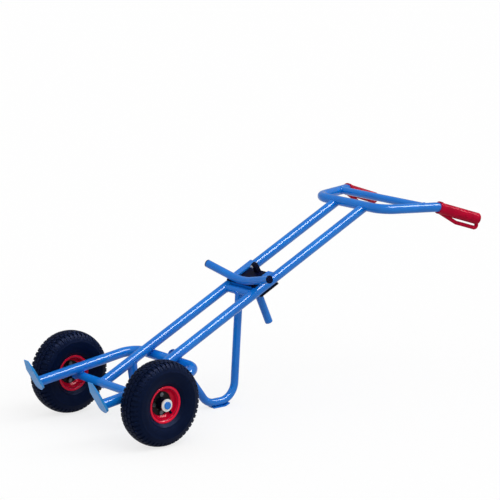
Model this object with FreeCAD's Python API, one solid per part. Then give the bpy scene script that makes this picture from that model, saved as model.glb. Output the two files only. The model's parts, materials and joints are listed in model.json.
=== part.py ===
"""Drum trolley of welded steel tube: two wheels, two rails, a loop handle and a sliding hook carriage."""
import FreeCAD, Part
import functools
import math
import os

Vec = FreeCAD.Vector

# Lengths are millimetres, angles degrees. X runs rearward to the handle, Z up, and Y to the
# right side as seen from the handle.
# Pieces are drawn with the axle's middle over the origin, and moved at the end so that the
# origin lies on the floor under the middle of the whole trolley.

# Tube stock and common clearances
main_od = 33.7
main_wall = 2.6
light_od = 26.9
light_wall = 2.3
slide_gap = 0.3        # between a rail and what slides on it, on the radius
run_gap = 0.05         # between the axle and what sits or turns on it, on the radius
end_gap = 0.5          # between a turning hub and the pieces beside it
weld_gap = 0.1         # left for the weld where the leg meets a tube of its own size
overrun = 5.0          # how far a cutting shape runs past what it cuts

# Wheels
tyre_od = 276.0
tyre_width = 86.0
tyre_wall = 7.0
tread_wall = 10.0
tread_width = 64.0
shoulder_drop = 6.5    # tread edge under the crown
tread_depth = 4.5
tread_groove = 3.0     # width of a groove round the tyre
inner_groove = 7.25    # middle of a groove, from the wheel's middle
outer_groove = 20.75
lug_count = 50
lug_gap = 5.8
lug_side_share = 0.45      # of the side's overhang past the tread, out to the bottom of a gap
lug_foot_share = 0.33      # of the way from the tread's edge down to the widest place
sidewall_share = 0.49      # of the way from the rim's flange up to the tread's edge, at the widest place
inner_tube_wall = 2.0
rim_flange_od = 120.0
rim_width = 56.0
rim_sheet = 2.5
rim_web_od = 76.0      # flat bottom of the dish
rim_cone_rise = 12.0   # top of the cone round the dish's bottom, from the wheel's middle
bead_seat_d = 101.6
hub_od = 38.0
hub_length = 63.0
bush_od = 30.0
bush_sleeve = 25.0
bush_flange_od = 40.0
bush_flange = 4.0
rim_bolt_count = 4
rim_bolt_d = 8.0
rim_bolt_circle = 58.0
rim_bolt_gap = 0.2
bolt_head_across = 13.0
bolt_head_height = 5.3
nut_height = 6.5
valve_d = 8.0
valve_place_share = 0.25   # of the rim's width, from the wheel's middle
valve_gap = 0.25
valve_length = 24.0
valve_turn = 45.0
valve_cap_d = 10.0
valve_cap_length = 9.0

# Axle
axle_d = 20.0
axle_tube_length = 390.0
spacer_od = 34.0
spacer_length = 10.0
axle_cap_od = 24.0
axle_cap_length = 4.5
axle_cap_end = 1.5
axle_cap_round = 1.2

# Rails
rail_tilt = 26.2
rail_spacing = 140.0
rail_drop = 8.0        # rail axis under the axle's centre, square to the rail
rail_length = 1143.0   # axle to the handle's front bar, along the rail
handle_lift = 5.5      # front bar over the rail axis, square to the rail

# Lower bow and toe plates
bow_tilt = 8.0
bow_tyre_gap = 10.15   # between an arm and the tyre beside it
bow_bend = 62.0
bow_reach = 168.0      # front end before the axle, along the arm
toe_length = 120.0
toe_width = 40.0
toe_thick = 8.0
toe_below = 28.0       # lower end under the arm's axis
toe_tilt = 6.0         # tip leans forward of square to the rails
toe_wedge = 38.0
toe_tip_thick = 2.5
toe_tip_width = 22.0

# Foot bow
foot_place = 138.0     # along the rail from the axle
foot_tilt = 10.0
foot_depth = 108.0
foot_bend = 42.0

# Support leg
leg_back = 513.0       # lower corner of the upright behind the axle
leg_lean = 2.0         # upright leans rearward
leg_front_tilt = 52.0
leg_seat = 3.0         # how deep the leg's front strut is hollowed to the lower bow
leg_bend = 60.0
skid_length = 50.0
skid_width = 30.0
skid_thick = 4.0
skid_back = 465.0      # rear end of the flat sole behind the axle
skid_lip = 20.0        # upturned rear end
skid_lip_tilt = 20.0

# Handle
handle_half_front = 163.0
handle_half_rear = 229.0
handle_reach = 202.0   # front bar to the bend before the grips
handle_bend = 70.0
droop_bend = 60.0
grip_droop = 16.5
grip_splay = 9.5
grip_tube = 140.0      # tube past the bend
handle_tube_back = 157.0
handle_tube_lift = 2.5
grip_length = 185.0
grip_start = 5.0       # grip's mouth past the bend
grip_od = 39.5
grip_depth = 2.0       # lower half of the grip's oval under its upper half
collar_ring_od = 44.0
collar_ring = 12.0
grip_round = 6.0
guard_thick = 14.0
guard_drop = 34.5
guard_reach = 3.0      # how far the guard runs past the grip's end
guard_slope_start = 10.0
guard_slope_end = 92.0
guard_bend = 9.0

# Carriage on the rails
rest_gap = 2.3         # between the cross saddle and the carriage at rest
plate_length = 83.0
plate_width = 160.0
plate_thick = 6.0
block_side_gap = 1.2   # between the block and each rail
cross_bar_thick = 7.0
bridge_length = 20.0
bridge_width = 142.0
strip_tongue = 32.0    # how much further the right strip reaches
strip_width = 28.0
strip_lap = 4.0        # how far a strip rests on the block
drum_bow_back = 8.0    # bow's axis behind the cross bar's front
drum_bow_half = 157.0
drum_bow_tilt = 14.8
drum_bow_bend = 200.0
drum_bow_rise = 21.0   # bow's middle over the axle's centre, square to the rail
bow_cap_face = 4.0
tube_cap_round = 1.5
bow_cap_plug = 12.0
claw_stem = 16.0
claw_rise = 46.0       # top over the axle's centre, square to the rail
claw_reach = 30.0
claw_nose = 12.0
claw_lip = 6.0
claw_corner = 6.0
claw_thick = 20.0
lever_back = 46.0      # lever's axis behind the plate's front
lever_length = 147.0
lever_cap_face = 3.0
lever_cap_plug = 10.0

# Places that follow from the sizes
axle_height = tyre_od / 2
tread_edge = tyre_od / 2 - shoulder_drop
sidewall_widest = rim_flange_od / 2 + (tread_edge - rim_flange_od / 2) * sidewall_share
lug_foot = tread_edge - (tread_edge - sidewall_widest) * lug_foot_share
lug_reach = tread_width / 2 + (tyre_width - tread_width) / 2 * lug_side_share
rail_half = rail_spacing / 2
hub_half = hub_length / 2 + bush_flange
wheel_half = axle_tube_length / 2 + spacer_length + end_gap + hub_half
bow_half_width = wheel_half - tyre_width / 2 - bow_tyre_gap - main_od / 2
plate_top = -rail_drop - main_od / 2 - slide_gap
block_top = -rail_drop + main_od / 2 + slide_gap
block_half = rail_half - main_od / 2 - block_side_gap
SIDES = (("right", 1), ("left", -1))


def sin(angle):
    return math.sin(math.radians(angle))


def cos(angle):
    return math.cos(math.radians(angle))


def tan(angle):
    return math.tan(math.radians(angle))


def rail_point(along, across, over):
    """Point given along the rails from the axle, across the trolley, and over the axle square to the rails."""
    rise = axle_height + along * sin(rail_tilt) + over * cos(rail_tilt)
    return Vec(along * cos(rail_tilt) - over * sin(rail_tilt), across, rise)


def to_rail(shape):
    """Turn a shape drawn as (along, across, over) to the rails' slope."""
    shape = shape.copy()
    shape.rotate(Vec(0, 0, 0), Vec(0, 1, 0), -rail_tilt)
    shape.translate(Vec(0, 0, axle_height))
    return shape


def largest(shape):
    return max(shape.Solids, key=lambda solid: solid.Volume)


def fuse(shapes):
    joined = shapes[0].multiFuse(shapes[1:]) if len(shapes) > 1 else shapes[0]
    return largest(joined.removeSplitter())


def ring(centre, normal, od, wall):
    """Flat round or ring-shaped section, solid where the wall is zero."""
    wires = [Part.Wire(Part.makeCircle(od / 2, centre, normal))]
    if wall > 0:
        wires.append(Part.Wire(Part.makeCircle(od / 2 - wall, centre, normal)))
    return Part.makeFace(wires, "Part::FaceMakerBullseye")


def tube(start, end, od, wall=0):
    return ring(start, end - start, od, wall).extrude(end - start)


def bent_tube(points, radii, od, wall=0):
    """Tube along straight runs, with a round bend of its own centreline radius at each inner point."""
    runs = []
    start = points[0]
    for before, corner, after, radius in zip(points, points[1:], points[2:], radii):
        along = (corner - before).normalize()
        onward = (after - corner).normalize()
        turn = along.getAngle(onward)
        setback = radius * math.tan(turn / 2)
        tangent = corner - along * setback
        hinge = along.cross(onward).normalize()
        centre = tangent + hinge.cross(along) * radius
        runs.append(ring(start, along, od, wall).extrude(tangent - start))
        runs.append(ring(tangent, along, od, wall).revolve(centre, hinge, math.degrees(turn)))
        start = corner + onward * setback
    runs.append(ring(start, points[-1] - start, od, wall).extrude(points[-1] - start))
    return fuse(runs)


def round_end(solid, end, outward, radius):
    """Round the edges of a flat end face, given by a point in it and its normal."""
    rim = [edge for edge in solid.Edges
           if all(abs((corner.Point - end).dot(outward)) < radius / 2 for corner in edge.Vertexes)]
    return solid.makeFillet(radius, rim)


def box(low, high):
    size = high - low
    return Part.makeBox(size.x, size.y, size.z, low)


def prism(points, depth):
    """Solid of a flat outline, pushed along one direction."""
    return Part.Face(Part.makePolygon(points + points[:1])).extrude(depth)


def hexagon(centre, axis, across, height):
    """Hexagonal prism standing on a point, its flats a given distance apart."""
    corner = across / 2 / cos(180 / 6)
    points = [Vec(corner * cos(60 * i), corner * sin(60 * i), 0) for i in range(6)]
    solid = prism(points, Vec(0, 0, height))
    solid.Placement = FreeCAD.Placement(centre, FreeCAD.Rotation(Vec(0, 0, 1), axis))
    return solid


def turned(points_and_arcs):
    """Solid of revolution about Y from an outline of (radius, across) points; a triple of points is an arc."""
    edges = []
    for stretch in points_and_arcs:
        places = [Vec(radius, across, 0) for radius, across in stretch]
        curve = Part.LineSegment(*places) if len(places) == 2 else Part.Arc(*places)
        edges.append(curve.toShape())
    return Part.Face(Part.Wire(edges)).revolve(Vec(0, 0, 0), Vec(0, 1, 0), 360)


def closed(points):
    """Straight stretches from each point of an outline to the next, and back to the first."""
    return list(zip(points, points[1:] + points[:1]))


# Wheel, drawn about the origin with its outer side toward +Y

def tyre_outline(inset, tread_inset, foot_radius):
    """Half-hoop outline of the tyre, drawn in from its outer face."""
    half = tyre_width / 2 - inset
    crown = tyre_od / 2 - tread_inset
    edge_radius = crown - shoulder_drop
    edge = tread_width / 2 - inset
    foot = rim_width / 2 - rim_sheet - inset
    heel = rim_flange_od / 2
    return [
        ((foot_radius, -foot), (heel, -foot)),
        ((heel, -foot), (sidewall_widest, -half), (edge_radius, -edge)),
        ((edge_radius, -edge), (crown, 0), (edge_radius, edge)),
        ((edge_radius, edge), (sidewall_widest, half), (heel, foot)),
        ((heel, foot), (foot_radius, foot)),
        ((foot_radius, foot), (foot_radius, -foot)),
    ]


def groove_bottom(across):
    """Radius of the tread's bottom, which follows the crown at the tread's depth."""
    return tyre_od / 2 - shoulder_drop * (2 * across / tread_width) ** 2 - tread_depth


def ring_groove(across):
    """Ring that cuts a groove round the tread."""
    bottom = groove_bottom(across)
    above = tyre_od / 2 + overrun
    low = across - tread_groove / 2
    high = across + tread_groove / 2
    return turned(closed([(bottom, low), (above, low), (above, high), (bottom, high)]))


def lug_gaps():
    """Slices of a ring that leave a row of lugs on the tyre's shoulder."""
    above = tyre_od / 2 + overrun
    beside = tyre_width / 2 + overrun
    outline = [(groove_bottom(outer_groove), outer_groove), (above, outer_groove), (above, beside),
               (lug_foot, beside), (lug_foot, lug_reach), (tread_edge - tread_depth, tread_width / 2)]
    points = [Vec(radius, across, 0) for radius, across in outline]
    width = math.degrees(2 * lug_gap / tyre_od)
    slices = []
    for i in range(lug_count):
        gap = Part.Face(Part.makePolygon(points + points[:1])).revolve(Vec(0, 0, 0), Vec(0, 1, 0), width)
        gap.rotate(Vec(0, 0, 0), Vec(0, 1, 0), 360 * i / lug_count - width / 2)
        slices.append(gap)
    return slices


def make_tyre():
    """Hollow tyre, its tread cut by four grooves round it and a row of lugs on each shoulder."""
    seat = bead_seat_d / 2
    cavity = tyre_outline(tyre_wall, tread_wall, seat - overrun)
    plain = turned(tyre_outline(0, 0, seat)).cut(turned(cavity))
    outer_side = box(Vec(-tyre_od, 0, -tyre_od), Vec(tyre_od, tyre_width, tyre_od))
    grooves = [ring_groove(inner_groove), ring_groove(outer_groove)]
    half = largest(plain.common(outer_side).cut(grooves + lug_gaps()))
    return fuse([half, half.mirror(Vec(0, 0, 0), Vec(0, 1, 0))])


def make_inner_tube():
    foot = bead_seat_d / 2
    outer = turned(tyre_outline(tyre_wall, tread_wall, foot))
    skin = inner_tube_wall
    inner = turned(tyre_outline(tyre_wall + skin, tread_wall + skin, foot + skin))
    return largest(outer.cut(inner))


def valve_hole(diameter):
    """Round bar along the valve, from inside the bead seat to the valve's free end."""
    across = rim_width * valve_place_share
    foot = bead_seat_d / 2
    bar = tube(Vec(foot, across, 0), Vec(foot - valve_length, across, 0), diameter)
    bar.rotate(Vec(0, 0, 0), Vec(0, 1, 0), valve_turn)
    return bar


def make_valve_cap():
    across = rim_width * valve_place_share
    free_end = bead_seat_d / 2 - valve_length
    cap = tube(Vec(free_end + valve_cap_length, across, 0), Vec(free_end, across, 0), valve_cap_d)
    cap.rotate(Vec(0, 0, 0), Vec(0, 1, 0), valve_turn)
    return cap.cut(valve_hole(valve_d))


def make_valve_stem():
    return largest(valve_hole(valve_d).cut(make_inner_tube()))


def bolt_places(across):
    places = []
    for i in range(rim_bolt_count):
        angle = 360 * i / rim_bolt_count
        radius = rim_bolt_circle / 2
        places.append(Vec(radius * cos(angle), across, radius * sin(angle)))
    return places


def make_rim_half(outward):
    """Pressed half of the rim: flat web, cone round it, bead seat and flange."""
    seat = bead_seat_d / 2
    outer = rim_width / 2
    web = rim_web_od / 2
    outline = [
        (hub_od / 2, 0),
        (web + rim_sheet, 0),
        (seat, rim_cone_rise - rim_sheet),
        (seat, outer - rim_sheet),
        (rim_flange_od / 2, outer - rim_sheet),
        (rim_flange_od / 2, outer),
        (seat - rim_sheet, outer),
        (seat - rim_sheet, rim_cone_rise),
        (web, rim_sheet),
        (hub_od / 2, rim_sheet),
    ]
    half = turned(closed([(radius, across * outward) for radius, across in outline]))
    hole = rim_bolt_d + 2 * rim_bolt_gap
    reach = Vec(0, 2 * overrun * outward, 0)
    for place in bolt_places(-overrun * outward):
        half = half.cut(tube(place, place + reach, hole))
    if outward > 0:
        half = half.cut(valve_hole(valve_d + 2 * valve_gap))
    return largest(half)


def make_hub():
    """Hub tube, which covers the inner bush and carries the outer bush's flange."""
    return tube(Vec(0, -hub_half, 0), Vec(0, hub_length / 2, 0), hub_od, (hub_od - bush_od) / 2)


def make_bushes():
    """Plain bush in the hub's inner end, and a flanged one in its outer end."""
    bore = axle_d + 2 * run_gap
    inner = Vec(0, -hub_half, 0)
    step = Vec(0, hub_length / 2, 0)
    outer = Vec(0, hub_half, 0)
    sleeve = Vec(0, bush_sleeve, 0)
    plain = tube(inner, inner + sleeve, bush_od, (bush_od - bore) / 2)
    seat = tube(step - sleeve, step, bush_od, (bush_od - bore) / 2)
    flange = tube(step, outer, bush_flange_od, (bush_flange_od - bore) / 2)
    return Part.makeCompound([plain, fuse([seat, flange])])


def make_rim_bolts():
    bolts = []
    outward = Vec(0, 1, 0)
    for seat in bolt_places(rim_sheet):
        head = hexagon(seat, outward, bolt_head_across, bolt_head_height)
        length = 2 * rim_sheet + nut_height + rim_bolt_gap
        shank = tube(seat, seat - outward * length, rim_bolt_d)
        bolts.append(fuse([head, shank]))
    return Part.makeCompound(bolts)


def make_rim_nuts():
    nuts = []
    inward = Vec(0, -1, 0)
    for seat in bolt_places(-rim_sheet):
        nut = hexagon(seat, inward, bolt_head_across, nut_height)
        nuts.append(nut.cut(tube(seat - inward * overrun, seat + inward * (nut_height + overrun), rim_bolt_d)))
    return Part.makeCompound(nuts)


def wheel_pieces():
    return {
        "tyre": make_tyre(),
        "inner_tube": make_inner_tube(),
        "outer_rim": make_rim_half(1),
        "inner_rim": make_rim_half(-1),
        "hub": make_hub(),
        "hub_bushes": make_bushes(),
        "rim_bolts": make_rim_bolts(),
        "rim_nuts": make_rim_nuts(),
        "valve_stem": make_valve_stem(),
        "valve_cap": make_valve_cap(),
    }


def wheels():
    nodes = {}
    for name, shape in wheel_pieces().items():
        for word, side in SIDES:
            placed = shape if side > 0 else shape.mirror(Vec(0, 0, 0), Vec(0, 1, 0))
            placed = placed.copy()
            placed.translate(Vec(0, side * wheel_half, axle_height))
            nodes[f"{word}_{name}"] = placed
    return nodes


# Axle group

def axle_bar(half, od, wall=0):
    return tube(Vec(0, -half, axle_height), Vec(0, half, axle_height), od, wall)


def make_axle_tube():
    return axle_bar(axle_tube_length / 2, light_od, (light_od - axle_d) / 2 - run_gap)


def axle_half():
    """Half length of the axle bar, which ends inside the caps."""
    return wheel_half + hub_half + end_gap + axle_cap_length - axle_cap_end


def make_spacers():
    spacers = []
    for _, side in SIDES:
        inner = Vec(0, side * axle_tube_length / 2, axle_height)
        outer = Vec(0, side * (wheel_half - hub_half - end_gap), axle_height)
        spacers.append(tube(inner, outer, spacer_od, (spacer_od - axle_d) / 2 - run_gap))
    return Part.makeCompound(spacers)


def make_axle_caps():
    caps = []
    for _, side in SIDES:
        inner = Vec(0, side * (wheel_half + hub_half + end_gap), axle_height)
        outer = inner + Vec(0, side * axle_cap_length, 0)
        cap = round_end(tube(inner, outer, axle_cap_od), outer, Vec(0, side, 0), axle_cap_round)
        caps.append(largest(cap.cut(axle_bar(axle_half(), axle_d))))
    return Part.makeCompound(caps)


# Frame

def lower_bow_points():
    """Corners of the lower bow: its arms lie on the axle tube, its rear run lies under the rails."""
    lift = (main_od + light_od) / 2
    lean = rail_tilt - bow_tilt
    fall = lift * cos(lean) + rail_drop + main_od
    rear = fall / sin(lean)
    foot = Vec(-lift * sin(bow_tilt), 0, axle_height + lift * cos(bow_tilt))
    arm = Vec(cos(bow_tilt), 0, sin(bow_tilt))
    front_end = foot - arm * bow_reach
    rear_end = foot + arm * rear
    out = Vec(0, bow_half_width, 0)
    return [front_end + out, rear_end + out, rear_end - out, front_end - out]


def bow_rear_axis():
    """Middle of the lower bow's rear run."""
    points = lower_bow_points()
    return (points[1] + points[2]) / 2


def toe_frame(side):
    """Placement at the arm's front end: local X across the plate, Y up along it, Z forward through it."""
    end = lower_bow_points()[0 if side > 0 else 3]
    lean = rail_tilt + toe_tilt
    up = Vec(-sin(lean), 0, cos(lean))
    forward = Vec(-cos(lean), 0, -sin(lean))
    across = up.cross(forward)
    turn = FreeCAD.Rotation(across, up, forward, "ZXY")
    return FreeCAD.Placement(end, turn)


def make_toe_plate(side):
    """Flat bar with a round lower end and a tip that narrows and thins to a wedge."""
    half = toe_width / 2
    tip_half = toe_tip_width / 2
    low = half - toe_below
    top = toe_length - toe_below
    neck = top - toe_wedge
    places = [Vec(-half, low, 0), Vec(0, low - half, 0), Vec(half, low, 0)]
    corners = [places[2], Vec(half, neck, 0), Vec(tip_half, top, 0), Vec(-tip_half, top, 0)]
    corners += [Vec(-half, neck, 0), places[0]]
    edges = [Part.Arc(*places).toShape()]
    edges += [Part.LineSegment(a, b).toShape() for a, b in zip(corners, corners[1:])]
    plate = Part.Face(Part.Wire(edges)).extrude(Vec(0, 0, toe_thick))
    wedge = prism([Vec(-toe_width, neck, toe_thick), Vec(-toe_width, top + overrun, toe_thick),
                   Vec(-toe_width, top + overrun, toe_tip_thick), Vec(-toe_width, top, toe_tip_thick)],
                  Vec(2 * toe_width, 0, 0))
    plate = largest(plate.cut(wedge))
    plate.Placement = toe_frame(side)
    return plate


def toe_cutter(side):
    """Block that trims the arm's front end to the plate's back face."""
    reach = 2 * main_od
    block = box(Vec(-reach, -2 * reach, 0), Vec(reach, 2 * reach, reach))
    block.Placement = toe_frame(side)
    return block


def make_lower_bow():
    points = lower_bow_points()
    for i, other in ((0, 1), (3, 2)):
        points[i] = points[i] + (points[i] - points[other]).normalize() * main_od
    bow = bent_tube(points, (bow_bend, bow_bend), main_od, main_wall)
    for _, side in SIDES:
        bow = largest(bow.cut(toe_cutter(side)))
    return bow


def rail_ends(side):
    across = side * rail_half
    return rail_point(0, across, -rail_drop), rail_point(rail_length, across, -rail_drop)


def rail_bar(side):
    return tube(*rail_ends(side), main_od)


def make_rail(side):
    """Rail with its ends hollowed to the axle tube and the handle's front bar."""
    rail = tube(*rail_ends(side), main_od, main_wall)
    rail = rail.cut(axle_bar(axle_tube_length / 2, light_od))
    return largest(rail.cut(handle_bar()))


def make_foot_bow():
    """Bent tube under the rails, on which a foot can press."""
    top = rail_point(foot_place, 0, -rail_drop)
    low = top + Vec(sin(foot_tilt), 0, -cos(foot_tilt)) * foot_depth
    out = Vec(0, rail_half, 0)
    bow = bent_tube([top + out, low + out, low - out, top - out], (foot_bend, foot_bend), main_od, main_wall)
    for _, side in SIDES:
        bow = largest(bow.cut(rail_bar(side)))
    return bow


def saddle_middle():
    """Middle of the cross saddle, where the leg's leaning upright meets the rails' axes."""
    low = skid_thick + light_od / 2
    foot = rail_point(0, 0, -rail_drop)
    height = (foot.z - low + (leg_back - foot.x) * tan(rail_tilt)) / (1 - tan(leg_lean) * tan(rail_tilt))
    return Vec(leg_back + height * tan(leg_lean), 0, low + height)


def saddle_bar(wall=0, gap=0):
    out = Vec(0, rail_half, 0)
    return tube(saddle_middle() - out, saddle_middle() + out, light_od + 2 * gap, wall)


def make_cross_saddle():
    saddle = saddle_bar(light_wall)
    for _, side in SIDES:
        saddle = largest(saddle.cut(rail_bar(side)))
    return saddle


def leg_points():
    """Middle line of the leg: down behind the lower bow, along the floor, and up to the saddle."""
    seat = (main_od + light_od) / 2 - leg_seat
    start = bow_rear_axis() + Vec(sin(leg_front_tilt), 0, cos(leg_front_tilt)) * seat
    low = skid_thick + light_od / 2
    front_low = Vec(start.x + (start.z - low) / tan(leg_front_tilt), 0, low)
    return [start, front_low, Vec(leg_back, 0, low), saddle_middle()]


def make_support_leg():
    """Bent leg whose strut runs up to the back of the lower bow, and whose upright meets the saddle."""
    points = leg_points()
    points[0] = points[0] + (points[0] - points[1]).normalize() * leg_seat
    leg = bent_tube(points, (leg_bend, leg_bend), light_od, light_wall)
    out = Vec(0, bow_half_width, 0)
    leg = leg.cut(tube(bow_rear_axis() - out, bow_rear_axis() + out, main_od))
    return largest(leg.cut(saddle_bar(gap=weld_gap)))


def make_skid_plate():
    """Flat sole under the leg, with an upturned rear end."""
    lip = Vec(cos(skid_lip_tilt), 0, sin(skid_lip_tilt)) * skid_lip
    thick = Vec(0, 0, skid_thick)
    front = Vec(skid_back - skid_length, -skid_width / 2, 0)
    rear = Vec(skid_back, -skid_width / 2, 0)
    outline = [front, rear, rear + lip, rear + lip + thick, rear + thick, front + thick]
    leg = bent_tube(leg_points(), (leg_bend, leg_bend), light_od)
    return largest(prism(outline, Vec(0, skid_width, 0)).cut(leg))


# Handle

def handle_points():
    """Middle line of the handle bow, from one grip end round the front bar to the other."""
    bar = rail_point(rail_length, 0, handle_lift - rail_drop)
    bend = bar + Vec(handle_reach, 0, 0)
    run = Vec(cos(grip_droop) * cos(grip_splay), cos(grip_droop) * sin(grip_splay), -sin(grip_droop))
    left = [bend + Vec(0, handle_half_rear, 0) + run * grip_tube, bend + Vec(0, handle_half_rear, 0),
            bar + Vec(0, handle_half_front, 0)]
    right = [Vec(point.x, -point.y, point.z) for point in reversed(left)]
    return left + right


@functools.cache
def handle_bar(wall=0):
    radii = (droop_bend, handle_bend, handle_bend, droop_bend)
    return bent_tube(handle_points(), radii, main_od, wall)


def make_handle_bow():
    return handle_bar(main_wall)


def make_handle_cross_tube():
    bar = rail_point(rail_length, 0, handle_lift - rail_drop)
    middle = bar + Vec(handle_tube_back, 0, handle_tube_lift)
    out = Vec(0, handle_half_rear, 0)
    return largest(tube(middle - out, middle + out, light_od, light_wall).cut(handle_bar()))


def grip_frame(side):
    """Placement at the grip's mouth: local X along the grip, Z square to it in its upright plane."""
    end, bend = handle_points()[:2]
    if side < 0:
        end, bend = handle_points()[:-3:-1]
    along = (end - bend).normalize()
    level = Vec(0, 0, 1).cross(along).normalize()
    turn = FreeCAD.Rotation(along, level, along.cross(level), "XYZ")
    return FreeCAD.Placement(bend + along * grip_start, turn)


def make_grip(side):
    """Moulded sleeve with a mouth ring and a guard bar under it, closed at its end."""
    lower = Vec(0, 0, -grip_depth)
    along = Vec(grip_length, 0, 0)
    half = Vec(0, grip_od / 2, 0)
    web = box(lower - half, along + half)
    body = fuse([tube(Vec(0, 0, 0), along, grip_od), tube(lower, lower + along, grip_od), web])
    rear = [edge for edge in body.Edges if edge.BoundBox.XMin > grip_length - grip_round]
    body = body.makeFillet(grip_round, rear)
    mouth = tube(Vec(0, 0, 0), Vec(collar_ring, 0, 0), collar_ring_od)
    path = [Vec(guard_slope_start, 0, guard_thick / 2 - grip_depth - grip_od / 2),
            Vec(guard_slope_end, 0, -guard_drop), Vec(grip_length + guard_reach, 0, -guard_drop),
            Vec(grip_length - guard_thick / 2, 0, 0)]
    guard = bent_tube(path, (guard_bend, guard_bend), guard_thick)
    grip = fuse([body, mouth, guard])
    grip.Placement = grip_frame(side)
    return largest(grip.cut(handle_bar()))


# Carriage, drawn as (along, across, over) the rails, from the cross saddle that it rests behind

saddle_along = saddle_middle().x * cos(rail_tilt) + (saddle_middle().z - axle_height) * sin(rail_tilt)
cross_bar_start = saddle_along + light_od / 2 + rest_gap
plate_start = cross_bar_start + cross_bar_thick
plate_end = plate_start + plate_length
drum_bow_place = cross_bar_start + drum_bow_back
lever_start = plate_start + lever_back


def drum_bow_points():
    """Corners of the drum bow, which bends round in its middle."""
    corner = drum_bow_rise - drum_bow_bend * (1 / cos(drum_bow_tilt) - 1)
    place = drum_bow_place
    end = corner + drum_bow_half * tan(drum_bow_tilt)
    return [Vec(place, drum_bow_half, end), Vec(place, 0, corner), Vec(place, -drum_bow_half, end)]


@functools.cache
def drum_bow_bar(wall=0):
    return bent_tube(drum_bow_points(), (drum_bow_bend,), light_od, wall)


def end_plug(end, outward, face, plug):
    """Round cap on a tube's end: a face as wide as the tube, and a plug inside its bore."""
    cover = round_end(tube(end, end + outward * face, light_od), end + outward * face, outward, tube_cap_round)
    return fuse([cover, tube(end, end - outward * plug, light_od - 2 * light_wall)])


def make_bow_caps():
    left, middle, right = drum_bow_points()
    caps = [end_plug(end, (end - middle).normalize(), bow_cap_face, bow_cap_plug) for end in (left, right)]
    return Part.makeCompound(caps)


def make_base_plate():
    half = plate_width / 2
    return box(Vec(plate_start, -half, plate_top - plate_thick), Vec(plate_end, half, plate_top))


def make_block():
    """Slide block between the rails, standing on the base plate and hollowed for the drum bow."""
    block = box(Vec(plate_start, -block_half, plate_top), Vec(plate_end, block_half, block_top))
    return largest(block.cut(drum_bow_bar()))


def make_cross_bar():
    """Flat bar across the block's front, under the bridge."""
    bar = box(Vec(cross_bar_start, -block_half, plate_top), Vec(plate_start, block_half, block_top))
    return largest(bar.cut(drum_bow_bar()))


def make_bridge():
    """Flat bar over both rails, hollowed for the drum bow that stands on it."""
    half = bridge_width / 2
    high = Vec(cross_bar_start + bridge_length, half, block_top + plate_thick)
    return largest(box(Vec(cross_bar_start, -half, block_top), high).cut(drum_bow_bar()))


def make_strip(side):
    """Flat bar over one rail, resting on the block's edge, with its rear end cut slanting."""
    start = cross_bar_start + bridge_length
    inner = side * (block_half - strip_lap)
    top = block_top + plate_thick
    end = plate_end + (strip_tongue if side > 0 else 0)
    outline = [(start, block_top), (end - plate_thick, block_top), (end, top), (start, top)]
    strip = prism([Vec(along, inner, over) for along, over in outline], Vec(0, side * strip_width, 0))
    return largest(strip.cut(drum_bow_bar()))


def make_claw():
    """Upright hook: a stem on the block, and a nose with a lip that reaches forward over a rim."""
    front = plate_end - claw_stem
    tip = plate_end - claw_reach
    under = claw_rise - claw_nose
    outline = [(front, block_top), (plate_end, block_top), (plate_end, claw_rise - claw_corner),
               (plate_end - claw_corner, claw_rise), (tip + claw_corner, claw_rise),
               (tip, claw_rise - claw_corner), (tip, under - claw_lip), (tip + claw_lip, under - claw_lip),
               (tip + 2 * claw_lip, under), (front, under)]
    half = claw_thick / 2
    return prism([Vec(along, -half, over) for along, over in outline], Vec(0, claw_thick, 0))


def lever_end():
    return Vec(lever_start, 0, plate_top - plate_thick - lever_length)


def make_lever_tube():
    return tube(Vec(lever_start, 0, plate_top - plate_thick), lever_end(), light_od, light_wall)


def make_lever_cap():
    return end_plug(lever_end(), Vec(0, 0, -1), lever_cap_face, lever_cap_plug)


def carriage():
    pieces = {
        "drum_bow": drum_bow_bar(light_wall),
        "drum_bow_caps": make_bow_caps(),
        "carriage_plate": make_base_plate(),
        "carriage_block": make_block(),
        "carriage_cross_bar": make_cross_bar(),
        "carriage_bridge": make_bridge(),
        "hook_claw": make_claw(),
        "carriage_lever": make_lever_tube(),
        "carriage_lever_cap": make_lever_cap(),
    }
    for word, side in SIDES:
        pieces[f"{word}_guide_strip"] = make_strip(side)
    return {name: to_rail(shape) for name, shape in pieces.items()}


def frame():
    pieces = {
        "axle_tube": make_axle_tube(),
        "axle": axle_bar(axle_half(), axle_d),
        "axle_spacers": make_spacers(),
        "axle_caps": make_axle_caps(),
        "lower_bow": make_lower_bow(),
        "foot_bow": make_foot_bow(),
        "cross_saddle": make_cross_saddle(),
        "support_leg": make_support_leg(),
        "skid_plate": make_skid_plate(),
        "handle_bow": make_handle_bow(),
        "handle_cross_tube": make_handle_cross_tube(),
    }
    for word, side in SIDES:
        pieces[f"{word}_rail"] = make_rail(side)
        pieces[f"{word}_toe_plate"] = make_toe_plate(side)
        pieces[f"{word}_grip"] = make_grip(side)
    return pieces


def main():
    os.makedirs("parts", exist_ok=True)
    nodes = {**frame(), **carriage()}
    extent = Part.makeCompound(list(nodes.values())).optimalBoundingBox(False)
    middle = (extent.XMin + extent.XMax) / 2
    nodes.update(wheels())
    for name, shape in nodes.items():
        placed = shape.copy()
        placed.translate(Vec(-middle, 0, 0))
        placed.exportStep(f"parts/{name}.step")
    print(f"{len(nodes)} nodes, {extent.XLength:.1f} mm long and {extent.ZLength:.1f} mm high")
    print(f"axle {-middle:.2f} mm from the origin, lowest point {extent.ZMin:.2f}")


main()
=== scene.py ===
# %% [markdown]
# # Drum trolley: finishes and fine forms around the CAD frame
# The trolley is welded from steel tube, rolls on two pneumatic tyres and carries a hook on its rails.
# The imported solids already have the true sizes, so they stay where they are and only get the finish of
# the real piece. A few pieces are finer than their solids: the block tread of the tyres, the rolled rims,
# the forged claw and the weld seams. Those are modelled here, on top of the frame or in place of a solid.

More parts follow.
